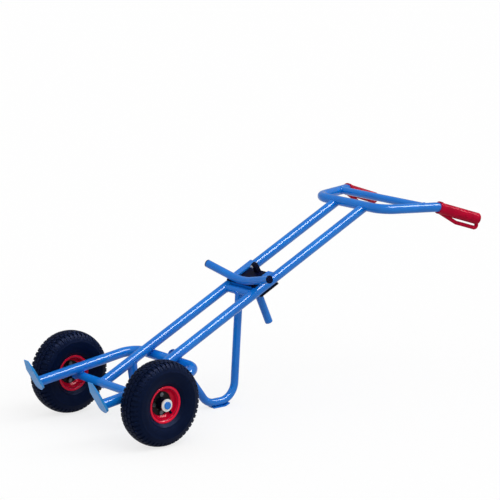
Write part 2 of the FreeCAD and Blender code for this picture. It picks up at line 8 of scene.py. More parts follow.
# %% Load the frame
import bpy
import math
import json
from mathutils import Matrix, Vector


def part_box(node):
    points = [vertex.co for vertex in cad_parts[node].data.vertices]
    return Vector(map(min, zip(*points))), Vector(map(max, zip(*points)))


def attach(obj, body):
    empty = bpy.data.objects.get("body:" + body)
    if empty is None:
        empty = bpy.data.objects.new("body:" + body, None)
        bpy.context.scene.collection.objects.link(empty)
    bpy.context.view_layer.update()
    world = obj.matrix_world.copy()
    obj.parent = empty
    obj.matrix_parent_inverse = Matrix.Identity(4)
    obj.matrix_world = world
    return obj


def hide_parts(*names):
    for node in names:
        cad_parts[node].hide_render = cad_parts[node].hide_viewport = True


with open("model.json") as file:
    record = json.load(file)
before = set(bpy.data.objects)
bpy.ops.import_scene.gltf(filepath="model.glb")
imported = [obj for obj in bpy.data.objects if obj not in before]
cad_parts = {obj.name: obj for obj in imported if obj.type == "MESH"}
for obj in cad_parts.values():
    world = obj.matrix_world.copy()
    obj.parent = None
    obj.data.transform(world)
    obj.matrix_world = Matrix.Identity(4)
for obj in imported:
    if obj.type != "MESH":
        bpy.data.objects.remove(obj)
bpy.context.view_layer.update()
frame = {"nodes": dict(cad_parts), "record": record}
nodes = frame["nodes"]
MM = 0.001

# %% [markdown]
# ## Places that the later steps share
# The wheels, the axle and the rails give every other place. They are read from the solids' boxes where
# a box gives them, so that the looks follow the frame. The slope of the rails is a fixed angle.

# %% Places on the frame
def middle(node):
    """Middle of a solid's box."""
    low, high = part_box(node)
    return (low + high) / 2


AXLE = middle("axle")
SADDLE = middle("cross_saddle")
WHEEL_MIDDLE = {side: middle(f"{side}_tyre").y for side in ("left", "right")}
RAIL_TILT = math.radians(26.2)
print("axle at", tuple(round(v, 4) for v in AXLE), "wheels at", WHEEL_MIDDLE)


def on_rails(along, across, over):
    """Point in metres from millimetres along the rails, across the trolley and square to the rails."""
    x = along * math.cos(RAIL_TILT) - over * math.sin(RAIL_TILT)
    z = along * math.sin(RAIL_TILT) + over * math.cos(RAIL_TILT)
    return Vector((AXLE.x + x * MM, across * MM, AXLE.z + z * MM))


# %% [markdown]
# ## Camera
# A long lens stands off the front left of the trolley, over a metre above the handle, and looks down at
# eleven degrees. The picture is square, so the lens length follows from the focal length in picture widths.
# The camera is tipped by one and a half degrees, as the floor line of the wheels shows.

# %% Camera
SENSOR_MM = 36.0
FOCAL_WIDTHS = 4.0626
CAMERA_FROM_AXLE = Vector((-3.8508, -5.0240, 1.7004))
VIEW_ACROSS = (0.6606, 0.7508)
LOOK_DOWN = math.radians(11.12)
TIP = math.radians(1.48)
CAMERA_REACH = 200.0

camera_data = bpy.data.cameras.new("camera")
camera_data.sensor_width = SENSOR_MM
camera_data.lens = SENSOR_MM * FOCAL_WIDTHS
camera_data.clip_end = CAMERA_REACH
camera = bpy.data.objects.new("camera", camera_data)
bpy.context.scene.collection.objects.link(camera)
ahead = math.cos(LOOK_DOWN)
view = Vector((VIEW_ACROSS[0] * ahead, VIEW_ACROSS[1] * ahead, -math.sin(LOOK_DOWN)))
turn = view.to_track_quat("-Z", "Y").to_matrix().to_4x4() @ Matrix.Rotation(TIP, 4, "Z")
camera.matrix_world = Matrix.Translation(AXLE + CAMERA_FROM_AXLE) @ turn
bpy.context.scene.camera = camera
stand = tuple(round(v, 3) for v in camera.matrix_world.translation)
print("camera at", stand, "lens", round(camera_data.lens, 2))

# %% [markdown]
# ## Node helpers
# Every finish is a small tree of nodes. One function adds a node, sets its values and makes its links.
# Colours are written as the hex values a painter would read from a screen, and one function turns them
# to the linear values that the shader works in.

# %% Helpers for materials
def linear(hex_colour):
    """Linear colour with full opacity from an sRGB hex value."""
    channels = [int(hex_colour[i:i + 2], 16) / 255 for i in (1, 3, 5)]
    return [c / 12.92 if c <= 0.04045 else ((c + 0.055) / 1.055) ** 2.4 for c in channels] + [1.0]


def add(tree, kind, links=None, **settings):
    """Add a node; settings are its properties or input values, links name what feeds its inputs."""
    node = tree.nodes.new(kind)
    for name, value in settings.items():
        if hasattr(node, name):
            setattr(node, name, value)
        else:
            node.inputs[name.replace("_", " ")].default_value = value
    for name, source in (links or {}).items():
        tree.links.new(source, node.inputs[name])
    return node


def start_material(name):
    """Empty material with its surface shader and the piece's own coordinates."""
    material = bpy.data.materials.new(name)
    material.use_nodes = True
    tree = material.node_tree
    tree.nodes.clear()
    shader = add(tree, "ShaderNodeBsdfPrincipled")
    add(tree, "ShaderNodeOutputMaterial", {"Surface": shader.outputs["BSDF"]})
    place = add(tree, "ShaderNodeTexCoord").outputs["Object"]
    return material, tree, shader, place


def per_metre(size_mm):
    """Texture scale for one feature of this size, in a scene in metres."""
    return 1.0 / (size_mm * MM)


# %% [markdown]
# ## Blue stove enamel
# The tubes are sprayed with a glossy blue enamel and baked. Under the gloss the coat is not quite even:
# it is slightly deeper where it ran together, and its skin has the fine waviness called orange peel.
# Use leaves dull scuffs and a few dark chips, mostly low down where the trolley meets the floor. The toe
# plates face the front light, so a paler copy of the enamel is painted on them as painted light.

# %% Blue enamel
CHIP_EDGE = 0.02


def blue_enamel(name, colour, deep, chips):
    """Glossy enamel of two close tones, chipped where its spots rise above the level in chips."""
    material, tree, shader, place = start_material(name)
    shader.inputs["IOR"].default_value = 1.5
    shader.inputs["Specular IOR Level"].default_value = 0.26
    cloud = add(tree, "ShaderNodeTexNoise", {"Vector": place}, Scale=per_metre(90), Detail=3.0)
    depth = add(tree, "ShaderNodeMapRange", {"Value": cloud.outputs["Fac"]}, From_Min=0.35, From_Max=0.7)
    paint = add(tree, "ShaderNodeMix", {"Factor": depth.outputs["Result"]}, data_type="RGBA")
    paint.inputs["A"].default_value = linear(colour)
    paint.inputs["B"].default_value = linear(deep)
    # chips: rare spots of a few millimetres, more of them close to the floor
    spots = add(tree, "ShaderNodeTexNoise", {"Vector": place}, Scale=per_metre(9), Detail=4.0, Roughness=0.65)
    height = add(tree, "ShaderNodeSeparateXYZ", {"Vector": place})
    low = add(tree, "ShaderNodeMapRange", {"Value": height.outputs["Z"]}, From_Min=0.25, From_Max=0.0,
              To_Min=0.0, To_Max=0.05)
    level = add(tree, "ShaderNodeMath", {0: spots.outputs["Fac"], 1: low.outputs["Result"]}, operation="ADD")
    chip = add(tree, "ShaderNodeMapRange", {"Value": level.outputs["Value"]}, From_Min=chips,
               From_Max=chips + CHIP_EDGE)
    worn = add(tree, "ShaderNodeMix", {"Factor": chip.outputs["Result"], "A": paint.outputs["Result"]},
               data_type="RGBA")
    worn.inputs["B"].default_value = linear("#3A3F48")
    tree.links.new(worn.outputs["Result"], shader.inputs["Base Color"])
    # scuffs: long soft streaks that take the gloss off
    stretch = add(tree, "ShaderNodeMapping", {"Vector": place})
    stretch.inputs["Scale"].default_value = (0.25, 1.0, 0.6)
    scuff = add(tree, "ShaderNodeTexNoise", {"Vector": stretch.outputs["Vector"]}, Scale=per_metre(22),
                Detail=6.0)
    gloss = add(tree, "ShaderNodeMapRange", {"Value": scuff.outputs["Fac"]}, From_Min=0.4, From_Max=0.75,
                To_Min=0.08, To_Max=0.13)
    rough = add(tree, "ShaderNodeMix", {"Factor": chip.outputs["Result"], "A": gloss.outputs["Result"]})
    rough.inputs["B"].default_value = 0.6
    tree.links.new(rough.outputs["Result"], shader.inputs["Roughness"])
    # orange peel about two millimetres across, and the step down into a chip
    peel = add(tree, "ShaderNodeTexNoise", {"Vector": place}, Scale=per_metre(2.2), Detail=1.0)
    skin = add(tree, "ShaderNodeBump", {"Height": peel.outputs["Fac"]}, Strength=0.03, Distance=0.0002)
    step = add(tree, "ShaderNodeBump", {"Height": chip.outputs["Result"], "Normal": skin.outputs["Normal"]},
               invert=True, Strength=0.4, Distance=0.0002)
    tree.links.new(step.outputs["Normal"], shader.inputs["Normal"])
    return material


enamel = blue_enamel("blue_stove_enamel", "#1079D6", "#0D6CC9", 0.70)
# Paler copy of the enamel for the toe plates: painted light, for the front light that falls on them.
toe_plate_lit_enamel = blue_enamel("toe_plate_painted_light_enamel", "#3D9AE0", "#2C88D4", 0.68)
print("made", enamel.name, toe_plate_lit_enamel.name)

# %% [markdown]
# ## Red enamel of the rims
# The pressed rims have the same kind of enamel in red. The web at the bottom of the dish, about the hub, is
# painted almost black and dull between the hub and the red wall, as painted shade in the deep dish.

# %% Red rim enamel
# Radius and soft edge of the painted shade at the bottom of the deep dish, in millimetres.
RIM_DISH_SHADE_RADIUS, RIM_DISH_SHADE_EDGE = 38.5, 1.0
material, tree, shader, place = start_material("red_rim_enamel")
red_rim = material
shader.inputs["IOR"].default_value = 1.5
shader.inputs["Specular IOR Level"].default_value = 0.18
cloud = add(tree, "ShaderNodeTexNoise", {"Vector": place}, Scale=per_metre(35), Detail=3.0)
paint = add(tree, "ShaderNodeMix", {"Factor": cloud.outputs["Fac"]}, data_type="RGBA")
paint.inputs["A"].default_value = linear("#E80738")
paint.inputs["B"].default_value = linear("#D40530")
flat = add(tree, "ShaderNodeVectorMath", {0: place}, operation="MULTIPLY")
flat.inputs[1].default_value = (1.0, 0.0, 1.0)
radius = add(tree, "ShaderNodeVectorMath", {0: flat.outputs["Vector"]}, operation="DISTANCE")
radius.inputs[1].default_value = (AXLE.x, 0.0, AXLE.z)
# Painted shade: inside this radius, at the bottom of the deep dish, the red is painted almost black.
dish_shade = add(tree, "ShaderNodeMapRange", {"Value": radius.outputs["Value"]},
             From_Min=(RIM_DISH_SHADE_RADIUS + RIM_DISH_SHADE_EDGE) * MM, From_Max=RIM_DISH_SHADE_RADIUS * MM)
coat = add(tree, "ShaderNodeMix", {"Factor": dish_shade.outputs["Result"], "A": paint.outputs["Result"]},
           data_type="RGBA")
coat.inputs["B"].default_value = linear("#0B0B0E")
tree.links.new(coat.outputs["Result"], shader.inputs["Base Color"])
gloss = add(tree, "ShaderNodeMapRange", {"Value": cloud.outputs["Fac"]}, To_Min=0.18, To_Max=0.3)
matt = add(tree, "ShaderNodeMix", {"Factor": dish_shade.outputs["Result"], "A": gloss.outputs["Result"]})
matt.inputs["B"].default_value = 0.55
tree.links.new(matt.outputs["Result"], shader.inputs["Roughness"])
peel = add(tree, "ShaderNodeTexNoise", {"Vector": place}, Scale=per_metre(2.0), Detail=1.0)
skin = add(tree, "ShaderNodeBump", {"Height": peel.outputs["Fac"]}, Strength=0.05, Distance=0.0002)
tree.links.new(skin.outputs["Normal"], shader.inputs["Normal"])
print("made", red_rim.name)

# %% [markdown]
# ## Tyre rubber
# Carbon-black rubber is near black with a dull sheen; here it is a very dark blue-grey, with the cool cast of
# the studio light painted into it. Road dust settles in its pores and makes pale grey patches, and the
# moulded skin has a fine grain.

# %% Tyre rubber
def rubber(name, colour, dust, dust_share, roughness):
    """Dull rubber with patches of dust, which cover it up to the given share."""
    material, tree, shader, place = start_material(name)
    shader.inputs["IOR"].default_value = 1.52
    shader.inputs["Specular IOR Level"].default_value = 0.045
    patch = add(tree, "ShaderNodeTexNoise", {"Vector": place}, Scale=per_metre(28), Detail=5.0, Roughness=0.6)
    much = add(tree, "ShaderNodeMapRange", {"Value": patch.outputs["Fac"]}, From_Min=0.45, From_Max=0.8,
               To_Min=0.0, To_Max=dust_share)
    coat = add(tree, "ShaderNodeMix", {"Factor": much.outputs["Result"]}, data_type="RGBA")
    coat.inputs["A"].default_value = linear(colour)
    coat.inputs["B"].default_value = linear(dust)
    tree.links.new(coat.outputs["Result"], shader.inputs["Base Color"])
    dull = add(tree, "ShaderNodeMapRange", {"Value": patch.outputs["Fac"]}, To_Min=roughness - 0.1,
               To_Max=roughness + 0.1)
    tree.links.new(dull.outputs["Result"], shader.inputs["Roughness"])
    grain = add(tree, "ShaderNodeTexNoise", {"Vector": place}, Scale=per_metre(1.4), Detail=3.0)
    skin = add(tree, "ShaderNodeBump", {"Height": grain.outputs["Fac"]}, Strength=0.15, Distance=0.0003)
    tree.links.new(skin.outputs["Normal"], shader.inputs["Normal"])
    return material


# Painted light: the blue in the tyre's colour and in its dust stands for the cool cast of the studio light.
tyre_rubber = rubber("carbon_black_rubber", "#030E28", "#14223A", 0.25, 0.5)
tube_rubber = rubber("butyl_tube_rubber", "#1A1A1C", "#55565A", 0.3, 0.6)
print("made", tyre_rubber.name, tube_rubber.name)

# %% [markdown]
# ## Moulded plastics
# The grips are soft red PVC, dipped or moulded, with a satin skin that shows faint flow marks. The bushes
# are white nylon. The bow's end caps, the slide block and the valves are black polyethylene. All three share
# one tree: a base colour that drifts a little, a mottled gloss, and a fine moulded grain.

# %% Plastics
def moulded(name, colour, shade, roughness, grain_mm, sheen):
    """Moulded plastic of two close tones, with a grain of the given size."""
    material, tree, shader, place = start_material(name)
    shader.inputs["IOR"].default_value = 1.52
    shader.inputs["Specular IOR Level"].default_value = sheen
    flow = add(tree, "ShaderNodeTexNoise", {"Vector": place}, Scale=per_metre(30), Detail=4.0, Distortion=0.6)
    tint = add(tree, "ShaderNodeMapRange", {"Value": flow.outputs["Fac"]}, From_Min=0.35, From_Max=0.7)
    mix = add(tree, "ShaderNodeMix", {"Factor": tint.outputs["Result"]}, data_type="RGBA")
    mix.inputs["A"].default_value = linear(colour)
    mix.inputs["B"].default_value = linear(shade)
    tree.links.new(mix.outputs["Result"], shader.inputs["Base Color"])
    gloss = add(tree, "ShaderNodeMapRange", {"Value": flow.outputs["Fac"]}, To_Min=roughness - 0.07,
                To_Max=roughness + 0.07)
    tree.links.new(gloss.outputs["Result"], shader.inputs["Roughness"])
    grain = add(tree, "ShaderNodeTexNoise", {"Vector": place}, Scale=per_metre(grain_mm), Detail=2.0)
    skin = add(tree, "ShaderNodeBump", {"Height": grain.outputs["Fac"]}, Strength=0.12, Distance=0.0002)
    tree.links.new(skin.outputs["Normal"], shader.inputs["Normal"])
    return material


grip_pvc = moulded("red_soft_pvc", "#B8042F", "#A00228", 0.34, 1.2, 0.05)
white_nylon = moulded("white_nylon", "#F0F0EC", "#E4E4DE", 0.38, 1.0, 0.5)
black_poly = moulded("black_polyethylene", "#020620", "#050A2A", 0.46, 1.0, 0.04)
print("made", grip_pvc.name, white_nylon.name, black_poly.name)

# %% [markdown]
# ## Black satin enamel and zinc plate
# The hubs, and the plate, the bridge and the claw of the carriage, are sprayed satin black. The load rubs the
# claw, so its nose is worn to bright steel. Bolts, nuts and axle are zinc plated, a mottled grey metal.

# %% Black enamel and zinc
CLAW_NOSE = on_rails(662, 0, 36)


def black_enamel(name, worn_place, worn_mm):
    """Satin black enamel, worn to steel with a ragged edge round one place."""
    material, tree, shader, place = start_material(name)
    shader.inputs["IOR"].default_value = 1.5
    shader.inputs["Specular IOR Level"].default_value = 0.06
    cloud = add(tree, "ShaderNodeTexNoise", {"Vector": place}, Scale=per_metre(12), Detail=5.0)
    coat = add(tree, "ShaderNodeMix", {"Factor": cloud.outputs["Fac"]}, data_type="RGBA")
    coat.inputs["A"].default_value = linear("#020418")
    coat.inputs["B"].default_value = linear("#080A20")
    gap = add(tree, "ShaderNodeVectorMath", {0: place}, operation="DISTANCE")
    gap.inputs[1].default_value = worn_place
    ragged = add(tree, "ShaderNodeMath", {0: cloud.outputs["Fac"]}, operation="MULTIPLY")
    ragged.inputs[1].default_value = worn_mm * MM
    reach = add(tree, "ShaderNodeMath", {0: gap.outputs["Value"], 1: ragged.outputs["Value"]}, operation="ADD")
    bare = add(tree, "ShaderNodeMapRange", {"Value": reach.outputs["Value"]}, From_Min=1.1 * worn_mm * MM,
               From_Max=0.9 * worn_mm * MM)
    steel = add(tree, "ShaderNodeMix", {"Factor": bare.outputs["Result"], "A": coat.outputs["Result"]},
                data_type="RGBA")
    steel.inputs["B"].default_value = linear("#B9BBBE")
    tree.links.new(steel.outputs["Result"], shader.inputs["Base Color"])
    tree.links.new(bare.outputs["Result"], shader.inputs["Metallic"])
    gloss = add(tree, "ShaderNodeMapRange", {"Value": cloud.outputs["Fac"]}, To_Min=0.32, To_Max=0.52)
    tree.links.new(gloss.outputs["Result"], shader.inputs["Roughness"])
    peel = add(tree, "ShaderNodeTexNoise", {"Vector": place}, Scale=per_metre(1.8), Detail=2.0)
    skin = add(tree, "ShaderNodeBump", {"Height": peel.outputs["Fac"]}, Strength=0.1, Distance=0.0002)
    tree.links.new(skin.outputs["Normal"], shader.inputs["Normal"])
    return material


satin_black = black_enamel("black_satin_enamel", CLAW_NOSE, 11.0)

material, tree, shader, place = start_material("zinc_plated_steel")
zinc = material
shader.inputs["Metallic"].default_value = 1.0
mottle = add(tree, "ShaderNodeTexVoronoi", {"Vector": place}, Scale=per_metre(6))
tone = add(tree, "ShaderNodeMix", {"Factor": mottle.outputs["Distance"]}, data_type="RGBA")
tone.inputs["A"].default_value = linear("#6A6E74")
tone.inputs["B"].default_value = linear("#4E5258")
tree.links.new(tone.outputs["Result"], shader.inputs["Base Color"])
haze = add(tree, "ShaderNodeTexNoise", {"Vector": place}, Scale=per_metre(8), Detail=4.0)
gloss = add(tree, "ShaderNodeMapRange", {"Value": haze.outputs["Fac"]}, To_Min=0.28, To_Max=0.5)
tree.links.new(gloss.outputs["Result"], shader.inputs["Roughness"])
skin = add(tree, "ShaderNodeBump", {"Height": haze.outputs["Fac"]}, Strength=0.08, Distance=0.0002)
tree.links.new(skin.outputs["Normal"], shader.inputs["Normal"])
print("made", satin_black.name, zinc.name)

# %% [markdown]
# ## Finish of each solid
# The record names a material slot for every solid. Each slot gets its finish, so a solid that is added to
# the frame later is dressed as well. The two toe plates get a paler copy of the enamel in place of the plain
# one, as painted light where the front light falls on them.

# %% Dress the solids
finish_of = {
    "blue_paint": enamel,
    "black_paint": satin_black,
    "rim_red": red_rim,
    "zinc_steel": zinc,
    "tyre_black": tyre_rubber,
    "tube_rubber": tube_rubber,
    "bush_white": white_nylon,
    "grip_red": grip_pvc,
    "cap_black": black_poly,
}
for subpart in frame["record"]["subparts"]:
    solid = nodes[subpart["node"]]
    solid.data.materials.clear()
    solid.data.materials.append(finish_of[subpart["material_slot"]])
# Painted light: the toe plates get the paler copy of the enamel, where the front light falls on them.
for side in ("left", "right"):
    nodes[f"{side}_toe_plate"].data.materials[0] = toe_plate_lit_enamel

# %% [markdown]
# ## Floor and light
# The floor is a wide pale sheet. The camera looks down on it, so it fills the picture and is the background.
# To the camera it is partly lit paper and partly plain white, so the shadow on it stays faint. It throws back
# less light than it seems to, which keeps the undersides of the tubes deep. The light is that of a white
# studio: a soft surround, stronger from the front, and one long bright panel overhead that runs along the
# trolley. The panel draws the narrow bright line along every tube, because a tube mirrors a panel that lies
# along it. In reflections it is brighter than as a lamp, so the lines are crisp while the light stays plain.

# %% Floor
FLOOR_SIZE = 160.0
FLOOR_GLOW = 0.74
bpy.ops.object.select_all(action="DESELECT")
bpy.ops.mesh.primitive_plane_add(size=FLOOR_SIZE, location=(0, 0, 0))
floor = bpy.context.object
floor.name = "floor"
floor_paper = bpy.data.materials.new("pale_floor")
floor_paper.use_nodes = True
tree = floor_paper.node_tree
tree.nodes.clear()
path = add(tree, "ShaderNodeLightPath")
seen = add(tree, "ShaderNodeMath", {0: path.outputs["Is Camera Ray"], 1: path.outputs["Is Glossy Ray"]},
           operation="MAXIMUM")
shade = add(tree, "ShaderNodeMix", {"Factor": seen.outputs["Value"]}, data_type="RGBA")
shade.inputs["A"].default_value = linear("#B8B8B8")
shade.inputs["B"].default_value = linear("#FCFCFC")
paper = add(tree, "ShaderNodeBsdfDiffuse", {"Color": shade.outputs["Result"]})
glow = add(tree, "ShaderNodeEmission", Strength=1.0)
share = add(tree, "ShaderNodeMath", {0: seen.outputs["Value"]}, operation="MULTIPLY")
share.inputs[1].default_value = FLOOR_GLOW
sheet = add(tree, "ShaderNodeMixShader", {0: share.outputs["Value"], 1: paper.outputs["BSDF"],
                                          2: glow.outputs["Emission"]})
add(tree, "ShaderNodeOutputMaterial", {"Surface": sheet.outputs["Shader"]})
floor.data.materials.append(floor_paper)
print("floor of", FLOOR_SIZE, "metres is set")

# %% Light
SURROUND_BACK, SURROUND_FRONT = 0.44, 1.10
FRONT = Vector((-0.60, -0.75, 0.28)).normalized()
PANEL_LEVEL = 2.8
PANEL_GLOSS_LEVEL = 30.0
PANEL_HEIGHT = math.radians(59.8)
PANEL_CORE, PANEL_EDGE = math.radians(4.0), math.radians(15.0)
PANEL_FROM, PANEL_TO = -0.3, 0.8
world = bpy.data.worlds.new("studio")
bpy.context.scene.world = world
world.use_nodes = True
tree = world.node_tree
tree.nodes.clear()
sight = add(tree, "ShaderNodeTexCoord").outputs["Generated"]
ray = add(tree, "ShaderNodeSeparateXYZ", {"Vector": sight})
toward = add(tree, "ShaderNodeMath", {0: ray.outputs["Y"]}, operation="MULTIPLY")
toward.inputs[1].default_value = -1.0
height = add(tree, "ShaderNodeMath", {0: ray.outputs["Z"], 1: toward.outputs["Value"]}, operation="ARCTAN2")
above = add(tree, "ShaderNodeMath", {0: height.outputs["Value"]}, operation="SUBTRACT")
above.inputs[1].default_value = PANEL_HEIGHT
aside = add(tree, "ShaderNodeMath", {0: above.outputs["Value"]}, operation="ABSOLUTE")
in_height = add(tree, "ShaderNodeMapRange", {"Value": aside.outputs["Value"]}, interpolation_type="SMOOTHSTEP",
                From_Min=PANEL_EDGE, From_Max=PANEL_CORE)
in_length = add(tree, "ShaderNodeMath", {0: ray.outputs["X"]}, operation="COMPARE")
in_length.inputs[1].default_value = (PANEL_FROM + PANEL_TO) / 2
in_length.inputs[2].default_value = (PANEL_TO - PANEL_FROM) / 2
panel = add(tree, "ShaderNodeMath", {0: in_height.outputs["Result"], 1: in_length.outputs["Value"]},
            operation="MULTIPLY")
path = add(tree, "ShaderNodeLightPath")
bright = add(tree, "ShaderNodeMapRange", {"Value": path.outputs["Is Glossy Ray"]}, To_Min=PANEL_LEVEL,
             To_Max=PANEL_GLOSS_LEVEL)
facing = add(tree, "ShaderNodeVectorMath", {0: sight}, operation="DOT_PRODUCT")
facing.inputs[1].default_value = FRONT
even = add(tree, "ShaderNodeMapRange", {"Value": facing.outputs["Value"]}, From_Min=-1.0, To_Min=SURROUND_BACK,
           To_Max=SURROUND_FRONT)
level = add(tree, "ShaderNodeMapRange", {"Value": panel.outputs["Value"], "To Min": even.outputs["Result"],
                                         "To Max": bright.outputs["Result"]})
surround = add(tree, "ShaderNodeBackground", {"Strength": level.outputs["Result"]})
surround.inputs["Color"].default_value = (1.0, 1.0, 1.0, 1.0)
add(tree, "ShaderNodeOutputWorld", {"Surface": surround.outputs["Background"]})
bpy.context.scene.view_settings.view_transform = "Standard"
print("surround and panel are set")

# %% [markdown]
# ## Helpers for modelling
# Edit mode acts on what is selected, so these helpers clear the selection first and pick points by their index.

# %% Helpers for modelling
MERGE = 0.02


def only(piece):
    """Make one object the selected and active one, in object mode."""
    if bpy.context.mode != "OBJECT":
        bpy.ops.object.mode_set(mode="OBJECT")
    bpy.ops.object.select_all(action="DESELECT")
    piece.select_set(True)
    bpy.context.view_layer.objects.active = piece


def pick_points(piece, test):
    """Enter edit mode with only the points selected whose index passes a test."""
    only(piece)
    mesh = piece.data
    mesh.edges.foreach_set("select", [False] * len(mesh.edges))
    mesh.polygons.foreach_set("select", [False] * len(mesh.polygons))
    mesh.vertices.foreach_set("select", [bool(test(vertex.index)) for vertex in mesh.vertices])
    bpy.context.tool_settings.mesh_select_mode = (True, False, False)
    bpy.ops.object.mode_set(mode="EDIT")


def leave_edit():
    bpy.ops.object.mode_set(mode="OBJECT")


def copy_of(piece):
    """Second object with a mesh of its own."""
    only(piece)
    bpy.ops.object.duplicate(linked=False)
    return bpy.context.object


def close_mesh():
    """Merge double points, turn all faces outward, and leave edit mode."""
    bpy.ops.mesh.select_all(action="SELECT")
    bpy.ops.mesh.remove_doubles(threshold=MERGE * MM)
    bpy.ops.mesh.normals_make_consistent(inside=False)
    leave_edit()


def soften(piece, width, segments, sharp, smooth):
    """Bevel the edges sharper than one angle, and shade what is flatter than the other as one curve."""
    only(piece)
    edges = piece.modifiers.new("soft_edges", "BEVEL")
    edges.width = width * MM
    edges.segments = segments
    edges.limit_method = "ANGLE"
    edges.angle_limit = sharp
    bpy.ops.object.modifier_apply(modifier=edges.name)
    bpy.ops.object.shade_smooth_by_angle(angle=smooth)


def settle(piece):
    """Put the piece's place into its mesh, with its object unturned at the origin."""
    only(piece)
    bpy.ops.object.transform_apply(location=True, rotation=True, scale=True)


def finish_piece(piece, name, body, finish, stands_for=()):
    """Name a finished piece, give it its finish, tie it to its body, and hide the solids that it stands for."""
    settle(piece)
    piece.name = name
    piece.data.name = name
    piece.data.materials.clear()
    piece.data.materials.append(finish)
    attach(piece, body)
    if stands_for:
        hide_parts(*stands_for)
    print(name, "has", sum(len(p.vertices) - 2 for p in piece.data.polygons), "triangles")


# %% [markdown]
# ## Treaded tyres
# A tyre is one section carried round the axle, and its tread is the same few blocks again and again. So one
# pitch of the tread is modelled, a lug with the gap beside it, and then copied round. The section is drawn as a
# closed chain of points, from the crown down the side wall to the bead and back along the inside. It is spun on
# in small steps. Where a block ends, the chain is extruded in place and the points of that row sink to the
# bottom of the tread, which leaves an upright wall of rubber.

# %% Tyre section
LUGS_ROUND = 50
STEPS_PER_LUG = 6
STEP_ANGLE = 2 * math.pi / LUGS_ROUND / STEPS_PER_LUG
# each row of the outer half: its (radius, across) points while it stands, and while it is sunk
CENTRE_ROW = [(138.0, 0.0), (137.8, 5.75)], [(134.2, 0.0), (134.0, 5.75)]
INNER_GROOVE = [(133.2, 6.0), (133.2, 8.5)]
MIDDLE_ROW = [(137.5, 8.75), (136.8, 14.0), (135.7, 19.25)], [(134.2, 8.75), (133.2, 14.0), (131.8, 19.25)]
OUTER_GROOVE = [(130.8, 19.5), (130.8, 22.0)]
LUG_ROW = [(134.9, 22.25), (133.4, 27.0), (131.5, 32.0), (126.0, 35.8), (121.0, 38.4)], [
    (130.8, 23.5), (129.0, 27.0), (127.0, 32.0), (123.0, 34.8), (119.5, 37.0)]
SIDE_AND_INSIDE = [
    (119.2, 39.2), (113.0, 41.3), (109.6, 42.1), (108.4, 42.9), (106.6, 43.2), (105.4, 42.8), (95.0, 43.0),
    (86.0, 41.4), (78.0, 38.7), (73.0, 36.1), (71.8, 36.1), (70.2, 35.1), (69.6, 34.0), (65.0, 30.5),
    (61.0, 26.6), (59.5, 25.4), (51.0, 25.4), (51.0, 18.5), (60.0, 18.5), (78.0, 32.9), (95.0, 36.0),
    (112.0, 31.6), (121.5, 25.0), (126.6, 12.0), (128.0, 0.0),
]


def tyre_chain(sunk):
    """Closed section of (radius, across) points, with the named rows sunk."""
    half = []
    for name, row in (("centre", CENTRE_ROW), ("", INNER_GROOVE), ("middle", MIDDLE_ROW), ("", OUTER_GROOVE),
                      ("lug", LUG_ROW)):
        half += row if not name else row[name in sunk]
    half += SIDE_AND_INSIDE
    return half + [(radius, -across) for radius, across in reversed(half[1:-1])]


def draw_chain(places):
    """Closed loop of edges through places given in metres."""
    bpy.ops.object.select_all(action="DESELECT")
    bpy.ops.mesh.primitive_plane_add(size=MM, location=places[0])
    piece = bpy.context.object
    settle(piece)
    bpy.ops.object.mode_set(mode="EDIT")
    bpy.context.tool_settings.mesh_select_mode = (True, False, False)
    bpy.ops.mesh.select_all(action="SELECT")
    bpy.ops.mesh.merge(type="CENTER")
    for before, after in zip(places, places[1:] + places[:1]):
        bpy.ops.mesh.extrude_region_move(TRANSFORM_OT_translate={"value": after - before})
    bpy.ops.mesh.select_all(action="SELECT")
    bpy.ops.mesh.remove_doubles(threshold=MERGE * MM)
    return piece


def reshape_chain(piece, before, after):
    """Extrude the selected chain in place, and move the points that differ between two sections."""
    bpy.ops.mesh.extrude_region_move(TRANSFORM_OT_translate={"value": (0, 0, 0)})
    leave_edit()
    chain = [vertex.index for vertex in piece.data.vertices if vertex.select]
    for old, new in zip(before, after):
        if old == new:
            continue
        for index in chain:
            place = piece.data.vertices[index].co
            radius = math.hypot(place.x, place.z)
            if math.hypot(radius - old[0] * MM, place.y - old[1] * MM) < MERGE / 2 * MM:
                shrink = new[0] * MM / radius
                place.x, place.y, place.z = place.x * shrink, new[1] * MM, place.z * shrink
    bpy.ops.object.mode_set(mode="EDIT")


# %% [markdown]
# Rows next to each other are out of step, as on the real tread: the lugs on both shoulders stand side by side,
# the cut in the middle row lies between two gaps, and the cut in the centre row is level with a gap.

# %% Tyre tread
SUNK_ROWS = [("lug", "centre"), (), ("middle",), (), (), ("lug",)]
TREAD_EDGE, TREAD_EDGE_STEPS = 0.6, 1
TREAD_SHARP, TREAD_SMOOTH = math.radians(44), math.radians(35)
chains = [tyre_chain(sunk) for sunk in SUNK_ROWS]
tyre = draw_chain([Vector((radius * MM, across * MM, 0)) for radius, across in chains[0]])
for chain, following in zip(chains, chains[1:] + chains[:1]):
    bpy.ops.mesh.spin(steps=1, angle=STEP_ANGLE, center=(0, 0, 0), axis=(0, 1, 0))
    if following != chain:
        reshape_chain(tyre, chain, following)
bpy.ops.mesh.select_all(action="SELECT")
bpy.ops.mesh.remove_doubles(threshold=MERGE * MM)
bpy.ops.mesh.select_all(action="SELECT")
turn_round = 2 * math.pi * (LUGS_ROUND - 1) / LUGS_ROUND
bpy.ops.mesh.spin(steps=LUGS_ROUND - 1, angle=turn_round, dupli=True, center=(0, 0, 0), axis=(0, 1, 0))
close_mesh()
soften(tyre, TREAD_EDGE, TREAD_EDGE_STEPS, TREAD_SHARP, TREAD_SMOOTH)
print("tyre of", len(tyre.data.polygons), "faces, size", [round(v, 4) for v in tyre.dimensions])

# %% [markdown]
# Both wheels carry the same tyre, so the finished one is copied. Each one stands for the tyre of its own wheel
# and turns with it.

